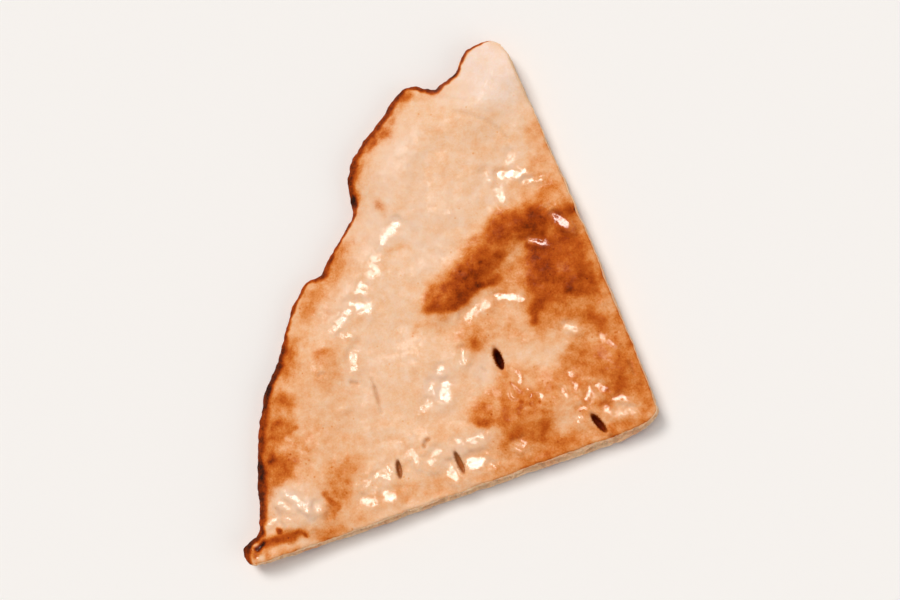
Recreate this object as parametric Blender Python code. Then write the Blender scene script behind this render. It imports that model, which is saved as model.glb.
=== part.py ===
"""Naan slice: a quarter of a round leavened flatbread, cut free with two straight knife cuts.

The slice is one solid and lies flat with its browned side up. Seen from above, +X is to the right
and +Y is up. The knife corner is at the lower right, and the baked rim runs round the left side.
Lengths below are in millimetres and turn into metres where the mesh is made. Angles are in degrees
from +X, seen from above.
"""
import math

import bmesh
import bpy
import numpy as np
from mathutils import Vector
from mathutils.geometry import delaunay_2d_cdt

METRES = 0.001

# Outline seen from above
CUT_CORNER = np.array([50.1, -28.8])
UPPER_CUT_ANGLE = 112.3
LOWER_CUT_ANGLE = 199.6
UPPER_CUT_BOW = 0.9
LOWER_CUT_BOW = 0.1
RIM_KNOTS = [
    (112.3, 100.6), (117.0, 100.9), (120.2, 97.2), (123.5, 96.8), (127.3, 101.5), (132.0, 99.4),
    (138.5, 97.7), (142.0, 95.0), (146.3, 88.9), (151.0, 88.4), (156.2, 88.6), (158.6, 91.3),
    (163.0, 92.4), (171.0, 92.8), (176.0, 94.9), (185.0, 96.7), (192.0, 97.9), (195.2, 98.8),
    (197.2, 103.8), (199.6, 104.2),
]
KNIFE_CORNER_ROUND_UPPER = 3.5
KNIFE_CORNER_ROUND_LOWER = 10.0
UPPER_TIP_ROUND = 5.0
LOWER_TIP_ROUND = 3.0

# Section: how thick the bread is, and how its rim rolls off
CRUMB_HEIGHT = 5.9
RIM_EDGE_HEIGHT = 3.6
RIM_ROLL = 7.0
RIM_SWELL = 1.1
RIM_SWELL_AT = 9.5
RIM_SWELL_WIDTH = 5.0
RIM_INSET = 1.9
RIM_ROLL_ANGLE = 65.0
CUT_INSET = 0.45
KNIFE_PRESS = 0.5
KNIFE_PRESS_REACH = 4.5
UPPER_CUT_LEAN = 4.0
LOWER_CUT_LEAN_AT_CORNER = 17.0
LOWER_CUT_LEAN_AT_RIM = 5.0

# Underside: flat where the slice rests, lifting towards the rim and the three corners
RIM_LIFT = 1.3
RIM_LIFT_REACH = 14.0
CUT_LIFT = 0.35
CUT_LIFT_REACH = 4.0
CORNER_LIFT = 1.6
CORNER_LIFT_REACH = 24.0

# Puffs on top: x, y, half length, half width, turn, height
PUFFS = [
    (-2.9, 26.4, 17.0, 12.0, 60.0, 2.0),
    (3.5, 48.5, 12.0, 8.0, 110.0, 1.2),
    (-13.6, 0.5, 14.0, 11.0, 80.0, 1.4),
    (-5.6, -17.0, 12.0, 9.0, 20.0, 1.6),
    (-29.6, -26.5, 15.0, 11.0, 100.0, 1.8),
    (-34.1, -49.5, 9.0, 8.0, 10.0, 1.3),
    (28.4, 5.2, 12.0, 9.0, 75.0, 2.5),
    (38.7, -17.5, 8.0, 6.5, 110.0, 2.0),
    (18.4, -27.5, 10.5, 7.0, 15.0, 1.8),
    (-2.9, -36.1, 10.0, 6.0, 20.0, 1.2),
    (6.1, -9.5, 6.0, 4.0, 10.0, 0.9),
    (7.4, -28.0, 4.0, 5.0, 0.0, 0.8),
    (-41.6, -36.5, 7.0, 4.0, 85.0, 0.9),
    (-21.1, 31.5, 8.0, 4.0, 70.0, 0.9),
    (-12.1, 48.5, 5.0, 4.0, 0.0, 0.9),
    (-46.8, -58.9, 3.0, 3.0, 0.0, 1.2),
]

# The long browned fold, as the points its crest runs through
FOLD_CREST = [(-2.1, -1.5), (6.4, 8.0), (14.9, 17.8), (26.4, 21.3)]
FOLD_HEIGHT = 2.2
FOLD_WIDTH = 4.6

# Slits torn open by steam: x, y, half length, half width, turn, depth
SLITS = [
    (11.6, -14.3, 2.9, 0.95, 111.0, 4.2),
    (35.3, -29.7, 3.1, 0.85, 130.0, 3.4),
    (2.3, -38.8, 3.3, 0.80, 114.0, 1.6),
    (-12.1, -40.4, 2.6, 0.80, 100.0, 1.5),
]
SLIT_RING_POINTS = 12
SLIT_FLOOR = 0.62

# Seeded unevenness of the top: cell size, amount, seed
UNEVENNESS = [(15.0, 0.6, 11), (6.5, 0.25, 12)]

# Mesh
OUTLINE_SPACING = 1.9
TOP_SPACING = 1.75
UNDERSIDE_SPACING = 2.4
WALL_ROWS = 5

CRUST_COLOUR = (0.78, 0.45, 0.22, 1.0)
CRUST_ROUGHNESS = 0.55


def direction(angle):
    """Unit vector at an angle in degrees."""
    return np.array([math.cos(math.radians(angle)), math.sin(math.radians(angle))])


def smoothstep(low, high, value):
    """Smooth ramp from 0 at low to 1 at high."""
    t = np.clip((value - low) / (high - low), 0.0, 1.0)
    return t * t * (3.0 - 2.0 * t)


def smooth_noise(x, y, cell, seed):
    """Seeded noise from -1 to 1 that changes over one cell, blended between random lattice values."""
    lattice = np.random.default_rng(seed).uniform(-1.0, 1.0, (64, 64))
    u = x / cell + 32.0
    v = y / cell + 32.0
    i = np.floor(u).astype(int)
    j = np.floor(v).astype(int)
    s = smoothstep(0.0, 1.0, u - i)
    t = smoothstep(0.0, 1.0, v - j)
    low = lattice[i, j] * (1.0 - s) + lattice[i + 1, j] * s
    high = lattice[i, j + 1] * (1.0 - s) + lattice[i + 1, j + 1] * s
    return low * (1.0 - t) + high * t


def rim_radius(angle):
    """Distance of the rim from the knife corner: a curve through RIM_KNOTS that never overshoots."""
    knot_angles, knot_radii = np.array(RIM_KNOTS).T
    rises = np.diff(knot_radii) / np.diff(knot_angles)
    slopes = np.zeros(len(knot_radii))
    same_way = rises[:-1] * rises[1:] > 0.0
    middle = 2.0 * rises[:-1] * rises[1:] / np.where(same_way, rises[:-1] + rises[1:], 1.0)
    slopes[1:-1] = np.where(same_way, middle, 0.0)
    k = np.clip(np.searchsorted(knot_angles, angle) - 1, 0, len(knot_angles) - 2)
    span = knot_angles[k + 1] - knot_angles[k]
    t = (angle - knot_angles[k]) / span
    start = (1.0 + 2.0 * t) * (1.0 - t) ** 2 * knot_radii[k] + t * (1.0 - t) ** 2 * span * slopes[k]
    end = t * t * (3.0 - 2.0 * t) * knot_radii[k + 1] - t * t * (1.0 - t) * span * slopes[k + 1]
    return start + end


def rim_points(count=400):
    """The baked rim from the upper cut round to the lower cut."""
    angles = np.linspace(UPPER_CUT_ANGLE, LOWER_CUT_ANGLE, count)
    return np.array([CUT_CORNER + rim_radius(angle) * direction(angle) for angle in angles])


def cut_points(angle, bow, outward, count=200):
    """One knife cut, from the knife corner to the rim, bowed a little outwards."""
    length = rim_radius(angle)
    t = np.linspace(0.0, 1.0, count)[:, None]
    return CUT_CORNER + length * t * direction(angle) + 4.0 * bow * t * (1.0 - t) * outward


def trimmed(points, at_start, at_end):
    """The run of points without the given lengths at its ends."""
    steps = np.linalg.norm(np.diff(points, axis=0), axis=1)
    run = np.concatenate([[0.0], np.cumsum(steps)])
    keep = (run > at_start) & (run < run[-1] - at_end)
    return points[keep]


def rounded_corner(before, corner, after, count=24):
    """Arc-like bend from one point to another that stays inside their corner."""
    t = np.linspace(0.0, 1.0, count)[1:-1, None]
    return (1.0 - t) ** 2 * before + 2.0 * t * (1.0 - t) * corner + t * t * after


def resampled(points, values, spacing):
    """Closed run of points at even spacing, with the values that go with them."""
    closed = np.vstack([points, points[:1]])
    closed_values = np.vstack([values, values[:1]])
    steps = np.linalg.norm(np.diff(closed, axis=0), axis=1)
    run = np.concatenate([[0.0], np.cumsum(steps)])
    at = np.linspace(0.0, run[-1], int(round(run[-1] / spacing)), endpoint=False)
    even = np.array([np.interp(at, run, column) for column in closed.T]).T
    even_values = np.array([np.interp(at, run, column) for column in closed_values.T]).T
    return even, even_values


def outline(spacing):
    """Closed outline, anticlockwise: points, outward normals, rim share and the cuts' lean."""
    upper_out = direction(UPPER_CUT_ANGLE - 90.0)
    lower_out = direction(LOWER_CUT_ANGLE + 90.0)
    upper = cut_points(UPPER_CUT_ANGLE, UPPER_CUT_BOW, upper_out)
    lower = cut_points(LOWER_CUT_ANGLE, LOWER_CUT_BOW, lower_out)[::-1]
    rim = rim_points()
    sides = [
        (trimmed(upper, KNIFE_CORNER_ROUND_UPPER, UPPER_TIP_ROUND), rim[0],
         (0.0, UPPER_CUT_LEAN), (0.0, UPPER_CUT_LEAN)),
        (trimmed(rim, UPPER_TIP_ROUND, LOWER_TIP_ROUND), rim[-1], (1.0, 0.0), (1.0, 0.0)),
        (trimmed(lower, LOWER_TIP_ROUND, KNIFE_CORNER_ROUND_LOWER), CUT_CORNER,
         (0.0, LOWER_CUT_LEAN_AT_RIM), (0.0, LOWER_CUT_LEAN_AT_CORNER)),
    ]
    points = []
    values = []
    for number, (side, corner, at_start, at_end) in enumerate(sides):
        following = sides[(number + 1) % len(sides)]
        bend = rounded_corner(side[-1], corner, following[0][0])
        points += [side, bend]
        values += [np.linspace(at_start, at_end, len(side)),
                   np.linspace(at_end, following[2], len(bend))]
    points, values = resampled(np.vstack(points), np.vstack(values), spacing)
    along = np.roll(points, -1, axis=0) - np.roll(points, 1, axis=0)
    normals = np.column_stack([along[:, 1], -along[:, 0]])
    normals /= np.linalg.norm(normals, axis=1)[:, None]
    return points, normals, values[:, 0], values[:, 1]


def distance_to_run(x, y, run):
    """Distance from each point to a run of straight pieces."""
    here = np.column_stack([x, y])
    nearest = np.full(len(here), np.inf)
    for start, end in zip(run[:-1], run[1:]):
        along = end - start
        t = np.clip(((here - start) @ along) / (along @ along), 0.0, 1.0)
        nearest = np.minimum(nearest, np.linalg.norm(here - start - t[:, None] * along, axis=1))
    return nearest


def inside(x, y, loop):
    """True for each point inside a closed loop."""
    crossings = np.zeros(len(x), dtype=int)
    for (x0, y0), (x1, y1) in zip(loop, np.roll(loop, -1, axis=0)):
        spans = (y0 > y) != (y1 > y)
        if y0 != y1:
            crossings += spans & (x < x0 + (y - y0) * (x1 - x0) / (y1 - y0))
    return crossings % 2 == 1


def cut_gaps(x, y):
    """Distance from each point to the upper and the lower cut line."""
    offset = np.column_stack([x, y]) - CUT_CORNER
    upper = -offset @ direction(UPPER_CUT_ANGLE - 90.0) + UPPER_CUT_BOW
    lower = -offset @ direction(LOWER_CUT_ANGLE + 90.0) + LOWER_CUT_BOW
    return np.maximum(upper, 0.0), np.maximum(lower, 0.0)


def oval_distance(x, y, centre_x, centre_y, half_length, half_width, turn):
    """Distance from an oval's centre, as a share of the way to its edge."""
    along = direction(turn)
    u = ((x - centre_x) * along[0] + (y - centre_y) * along[1]) / half_length
    v = (-(x - centre_x) * along[1] + (y - centre_y) * along[0]) / half_width
    return np.hypot(u, v)


def smooth_run(points):
    """Run of points through the given ones, rounded at each by two rounds of corner cutting."""
    run = np.array(points, dtype=float)
    for _ in range(2):
        first = 0.75 * run[:-1] + 0.25 * run[1:]
        second = 0.25 * run[:-1] + 0.75 * run[1:]
        middle = np.column_stack([first, second]).reshape(-1, 2)
        run = np.vstack([run[:1], middle, run[-1:]])
    return run


def underside_height(x, y, rim_gap):
    """Underside above the surface it rests on: flat in the middle, lifted at its borders."""
    upper_gap, lower_gap = cut_gaps(x, y)
    height = RIM_LIFT * (1.0 - smoothstep(0.0, RIM_LIFT_REACH, rim_gap))
    cut_gap = np.minimum(upper_gap, lower_gap)
    height += CUT_LIFT * (1.0 - smoothstep(0.0, CUT_LIFT_REACH, cut_gap))
    rim = rim_points(2)
    for corner in (CUT_CORNER, rim[0], rim[-1]):
        gap = np.hypot(x - corner[0], y - corner[1])
        height += CORNER_LIFT * (1.0 - smoothstep(0.0, CORNER_LIFT_REACH, gap)) ** 1.5
    return height


def top_height(x, y, rim_gap):
    """Browned upper face: rim roll and swell, puffs, the long fold, unevenness and slits."""
    upper_gap, lower_gap = cut_gaps(x, y)
    roll = np.sin(np.clip(rim_gap / RIM_ROLL, 0.0, 1.0) * math.pi / 2.0)
    height = RIM_EDGE_HEIGHT + (CRUMB_HEIGHT - RIM_EDGE_HEIGHT) * roll
    swell = np.exp(-((rim_gap - RIM_SWELL_AT) / RIM_SWELL_WIDTH) ** 2)
    height += RIM_SWELL * swell * (1.0 + 0.5 * smooth_noise(x, y, 20.0, 5))
    relief = np.zeros(len(x))
    for puff in PUFFS:
        relief += puff[5] * np.exp(-1.2 * oval_distance(x, y, *puff[:5]) ** 2)
    crest_gap = distance_to_run(x, y, smooth_run(FOLD_CREST))
    relief += FOLD_HEIGHT * np.exp(-(crest_gap / FOLD_WIDTH) ** 2)
    for cell, amount, seed in UNEVENNESS:
        relief += amount * smooth_noise(x, y, cell, seed)
    height += relief * (0.35 + 0.65 * smoothstep(0.0, RIM_ROLL, rim_gap))
    cut_gap = np.minimum(upper_gap, lower_gap)
    height -= KNIFE_PRESS * (1.0 - smoothstep(0.0, KNIFE_PRESS_REACH, cut_gap))
    for slit in SLITS:
        height -= slit[5] * (1.0 - smoothstep(SLIT_FLOOR, 1.0, oval_distance(x, y, *slit[:5])))
    return height


def slit_rings():
    """Points round each slit's lip and its floor, and the edges that join them into rings."""
    points = []
    edges = []
    for x, y, half_length, half_width, turn, depth in SLITS:
        along = direction(turn)
        across = np.array([-along[1], along[0]])
        for share in (1.0, SLIT_FLOOR):
            first = len(points)
            for k in range(SLIT_RING_POINTS):
                angle = 2.0 * math.pi * k / SLIT_RING_POINTS
                u = share * half_length * math.cos(angle)
                v = share * half_width * math.sin(angle)
                points.append(np.array([x, y]) + u * along + v * across)
                edges.append((first + k, first + (k + 1) % SLIT_RING_POINTS))
    return np.array(points), edges


def sheet(loop, spacing, with_slits):
    """Triangles over a closed loop, with even points inside it and the slits' rings if wanted."""
    row_height = spacing * math.sqrt(3.0) / 2.0
    low = loop.min(axis=0)
    high = loop.max(axis=0)
    rows = np.arange(low[1], high[1], row_height)
    grid = []
    for number, y in enumerate(rows):
        start = low[0] + (number % 2) * spacing / 2.0
        grid += [(x, y) for x in np.arange(start, high[0], spacing)]
    grid = np.array(grid)
    keep = inside(grid[:, 0], grid[:, 1], loop)
    keep &= distance_to_run(grid[:, 0], grid[:, 1], np.vstack([loop, loop[:1]])) > 0.6 * spacing
    rings = np.empty((0, 2))
    ring_edges = []
    if with_slits:
        rings, ring_edges = slit_rings()
        for x, y, half_length, half_width, turn, depth in SLITS:
            margin = 0.5 * spacing
            oval = (x, y, half_length + margin, half_width + margin, turn)
            keep &= oval_distance(grid[:, 0], grid[:, 1], *oval) > 1.0
    points = np.vstack([loop, rings, grid[keep]])
    edges = [(len(loop) + start, len(loop) + end) for start, end in ring_edges]
    border = [list(range(len(loop)))]
    result = delaunay_2d_cdt([Vector(point) for point in points], edges, border, 1, 1e-5)
    triangles = [[result[3][corner][0] for corner in face] for face in result[2]]
    return points, triangles


def wall_rows(points, normals, rim_share, lean, top, bottom):
    """Rows of the side between its top and bottom rows: a rolled rim, or a knife-cut face."""
    inset = CUT_INSET + (RIM_INSET - CUT_INSET) * rim_share
    slant = np.tan(np.radians(lean)) * (top - bottom)
    limit = math.radians(RIM_ROLL_ANGLE)
    rows = []
    for t in np.linspace(0.0, 1.0, WALL_ROWS + 2)[1:-1]:
        roll = limit * (1.0 - 2.0 * t)
        rolled_out = (math.cos(roll) - math.cos(limit)) / (1.0 - math.cos(limit))
        rolled_height = 0.5 + 0.5 * math.sin(roll) / math.sin(limit)
        cut_out = 1.0 - abs(2.0 * t - 1.0) ** 6
        out = cut_out + (rolled_out - cut_out) * rim_share
        height = (1.0 - t) + (rolled_height - (1.0 - t)) * rim_share
        place = points + normals * (inset * (out - 1.0) + slant * t)[:, None]
        rows.append(np.column_stack([place, bottom + (top - bottom) * height]))
    return rows


def slice_mesh():
    """The slice as one closed mesh: top sheet, side rows and underside sheet."""
    points, normals, rim_share, lean = outline(OUTLINE_SPACING)
    rim = rim_points()
    inset = CUT_INSET + (RIM_INSET - CUT_INSET) * rim_share
    top_loop = points - normals * inset[:, None]
    top_xy, top_faces = sheet(top_loop, TOP_SPACING, True)
    top_z = top_height(*top_xy.T, distance_to_run(*top_xy.T, rim) - RIM_INSET)
    top_z += underside_height(*top_xy.T, distance_to_run(*top_xy.T, rim))
    count = len(points)
    rough_bottom = underside_height(*top_loop.T, distance_to_run(*top_loop.T, rim))
    slant = np.tan(np.radians(lean)) * (top_z[:count] - rough_bottom)
    bottom_loop = top_loop + normals * slant[:, None]
    bottom_xy, bottom_faces = sheet(bottom_loop, UNDERSIDE_SPACING, False)
    bottom_z = underside_height(*bottom_xy.T, distance_to_run(*bottom_xy.T, rim))

    rows = wall_rows(points, normals, rim_share, lean, top_z[:count], bottom_z[:count])
    top = np.column_stack([top_xy, top_z])
    bottom = np.column_stack([bottom_xy, bottom_z])
    vertices = np.vstack([top] + rows + [bottom])
    first_bottom = len(top) + len(rows) * count
    starts = [0] + [len(top) + number * count for number in range(len(rows))] + [first_bottom]
    faces = [tuple(face) for face in top_faces]
    for upper, lower in zip(starts[:-1], starts[1:]):
        for k in range(count):
            following = (k + 1) % count
            faces.append((upper + k, lower + k, lower + following, upper + following))
    faces += [tuple(first_bottom + corner for corner in reversed(face)) for face in bottom_faces]

    mesh = bpy.data.meshes.new("naan_slice")
    mesh.from_pydata((vertices * METRES).tolist(), [], faces)
    mesh.validate()
    return mesh


def centred(mesh):
    """Move the mesh so that its box is centred on the origin and stands on the ground plane."""
    places = np.array([vertex.co for vertex in mesh.vertices])
    low = places.min(axis=0)
    high = places.max(axis=0)
    shift = Vector((-(low[0] + high[0]) / 2.0, -(low[1] + high[1]) / 2.0, -low[2]))
    for vertex in mesh.vertices:
        vertex.co += shift


def crust_material():
    """Baked crust: warm tan, nearly matt."""
    material = bpy.data.materials.new("baked_crust")
    material.use_nodes = True
    shader = material.node_tree.nodes["Principled BSDF"]
    shader.inputs["Base Color"].default_value = CRUST_COLOUR
    shader.inputs["Roughness"].default_value = CRUST_ROUGHNESS
    shader.inputs["Metallic"].default_value = 0.0
    return material


def build():
    """Clear the scene and make the slice in a collection of its own."""
    for thing in list(bpy.data.objects):
        bpy.data.objects.remove(thing, do_unlink=True)
    collection = bpy.data.collections.new("naan")
    bpy.context.scene.collection.children.link(collection)

    mesh = slice_mesh()
    centred(mesh)
    surface = bmesh.new()
    surface.from_mesh(mesh)
    bmesh.ops.triangulate(surface, faces=surface.faces)
    bmesh.ops.recalc_face_normals(surface, faces=surface.faces)
    surface.to_mesh(mesh)
    surface.free()
    mesh.shade_smooth()
    mesh.materials.append(crust_material())
    collection.objects.link(bpy.data.objects.new("naan_slice", mesh))


build()
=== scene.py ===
"""Naan slice, dressed: one closed bread mesh with browning, blisters, glaze and an open crumb.

The outline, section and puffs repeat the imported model's own functions at a finer spacing, and the
relief that a baked bread shows is added on top of them. Lengths are in millimetres and turn into
metres where the mesh is made. Colours are written as they look, 0 to 255 in sRGB. Seen from above,
+X is to the right and +Y is up.
"""
import math

import bpy
import numpy as np
from mathutils import Matrix, Vector
from mathutils.geometry import delaunay_2d_cdt


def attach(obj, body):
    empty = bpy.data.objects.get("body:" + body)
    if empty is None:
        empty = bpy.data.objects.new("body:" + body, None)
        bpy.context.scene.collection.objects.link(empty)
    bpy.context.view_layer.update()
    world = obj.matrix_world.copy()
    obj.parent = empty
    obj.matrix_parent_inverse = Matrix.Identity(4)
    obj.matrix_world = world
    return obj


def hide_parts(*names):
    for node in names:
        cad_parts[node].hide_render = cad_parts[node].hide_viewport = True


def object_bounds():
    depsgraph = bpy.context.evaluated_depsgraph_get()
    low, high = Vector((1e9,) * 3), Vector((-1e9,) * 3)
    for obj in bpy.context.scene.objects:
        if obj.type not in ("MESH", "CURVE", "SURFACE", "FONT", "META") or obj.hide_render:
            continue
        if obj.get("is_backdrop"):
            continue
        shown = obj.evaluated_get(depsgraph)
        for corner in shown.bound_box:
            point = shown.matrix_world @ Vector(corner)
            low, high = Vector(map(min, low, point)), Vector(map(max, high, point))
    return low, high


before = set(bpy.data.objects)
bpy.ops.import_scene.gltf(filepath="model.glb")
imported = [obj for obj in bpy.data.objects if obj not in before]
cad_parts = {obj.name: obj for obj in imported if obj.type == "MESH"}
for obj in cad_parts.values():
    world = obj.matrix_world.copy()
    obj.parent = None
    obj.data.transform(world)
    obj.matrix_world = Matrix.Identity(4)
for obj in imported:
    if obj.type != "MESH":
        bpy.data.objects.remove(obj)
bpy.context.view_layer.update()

METRES = 0.001

# Outline seen from above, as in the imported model
CUT_CORNER = np.array([50.1, -28.8])
UPPER_CUT_ANGLE = 112.3
LOWER_CUT_ANGLE = 199.6
UPPER_CUT_BOW = 0.9
LOWER_CUT_BOW = 0.1
RIM_KNOTS = [
    (112.3, 100.6), (117, 100.9), (120.2, 97.2), (123.5, 96.8), (127.3, 101.5), (132, 99.4),
    (138.5, 97.7), (142, 95), (146.3, 88.9), (151, 88.4), (156.2, 88.6), (158.6, 91.3), (163, 92.4),
    (171, 92.8), (176, 94.9), (185, 96.7), (192, 97.9), (195.2, 98.8), (197.2, 103.8),
    (199.6, 104.2),
]
KNIFE_CORNER_ROUND_UPPER = 3.5
KNIFE_CORNER_ROUND_LOWER = 10.0
UPPER_TIP_ROUND = 5.0
LOWER_TIP_ROUND = 3.0

# Section: how thick the bread is, and how its rim rolls off
CRUMB_HEIGHT = 5.9
RIM_EDGE_HEIGHT = 3.6
RIM_ROLL = 7.0
RIM_SWELL = 1.1
RIM_SWELL_AT = 9.5
RIM_SWELL_WIDTH = 5.0
RIM_INSET = 1.9
RIM_ROLL_ANGLE = 65.0
CUT_INSET = 0.45
KNIFE_PRESS = 0.5
KNIFE_PRESS_REACH = 4.5
UPPER_CUT_LEAN = 4.0
LOWER_CUT_LEAN_AT_CORNER = 17.0
LOWER_CUT_LEAN_AT_RIM = 5.0

# Underside: flat where the slice rests, lifting towards the rim and the three corners
RIM_LIFT = 1.3
RIM_LIFT_REACH = 14.0
CUT_LIFT = 0.35
CUT_LIFT_REACH = 4.0
CORNER_LIFT = 1.6
CORNER_LIFT_REACH = 24.0

# Puffs on top: x, y, half length, half width, turn, height
PUFFS = [
    (-2.9, 26.4, 17, 12, 60, 2), (3.5, 48.5, 12, 8, 110, 1.2), (-13.6, 0.5, 14, 11, 80, 1.4),
    (-5.6, -17, 12, 9, 20, 1.6), (-29.6, -26.5, 15, 11, 100, 1.8), (-34.1, -49.5, 9, 8, 10, 1.3),
    (28.4, 5.2, 12, 9, 75, 2.5), (38.7, -17.5, 8, 6.5, 110, 2), (18.4, -27.5, 10.5, 7, 15, 1.8),
    (-2.9, -36.1, 10, 6, 20, 1.2), (6.1, -9.5, 6, 4, 10, 0.9), (7.4, -28, 4, 5, 0, 0.8),
    (-41.6, -36.5, 7, 4, 85, 0.9), (-21.1, 31.5, 8, 4, 70, 0.9), (-12.1, 48.5, 5, 4, 0, 0.9),
    (-46.8, -58.9, 3, 3, 0, 1.2),
]
FOLD_CREST = [(-2.1, -1.5), (6.4, 8), (14.9, 17.8), (26.4, 21.3)]
FOLD_HEIGHT = 2.2
FOLD_WIDTH = 4.6

# Slits torn open by steam: x, y, half length, half width, turn, depth, share from pale to char, which in
# the two deep slits paints char and the shade inside them together
SLITS = [
    (11.6, -14.3, 2.9, 1.05, 111, 4.2, 0.92), (35.3, -29.7, 3.1, 0.92, 130, 3.4, 0.8),
    (2.3, -38.8, 3.3, 0.8, 114, 1.9, 0.36), (-12.1, -40.4, 2.6, 0.76, 100, 1.8, 0.32),
]
SLIT_RING_POINTS = 26
SLIT_RINGS = (1.3, 1.0, 0.8, 0.62, 0.35)
SLIT_WALL = (0.62, 1.05)
SLIT_LIP = 0.28
SLIT_LIP_AT = 1.35
SLIT_LIP_WIDTH = 0.35

# Small marks in the skin: x and y of each point along them, then half width and depth
CREASES = [
    (-18.8, -18.8, -17.6, -22, -16.2, -27, 0.28, 0.45),
    (-18, -20.8, -17.4, -22.8, -16.9, -24.6, 0.42, 0.75),
    (-5, -33.4, -5.8, -33.9, -6, -35.2, 0.48, 0.85),
    (1, 45.3, 6, 44.2, 11, 42, 14, 38.8, 0.6, 0.24), (-3.5, 49.8, 0.5, 49.2, 4, 48.2, 0.6, 0.2),
    (42.6, -15.2, 43.2, -16.6, 43.8, -18.3, 0.4, 0.5), (-23.6, -19.7, -22.2, -19.9, 0.4, 0.6),
    (-31.2, -18.3, -30.5, -17.6, -29.6, -17.8, 0.4, 0.45), (7.8, -16.4, 8.6, -17.3, 0.4, 0.35),
    (37.6, -32.6, 38.9, -33, 0.4, 0.8), (21.4, 20.6, 24, 22.4, 0.6, 0.4),
    (-43.9, -57.2, -44.9, -58.4, -46.1, -59.6, 0.55, 0.55),
]

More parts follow.
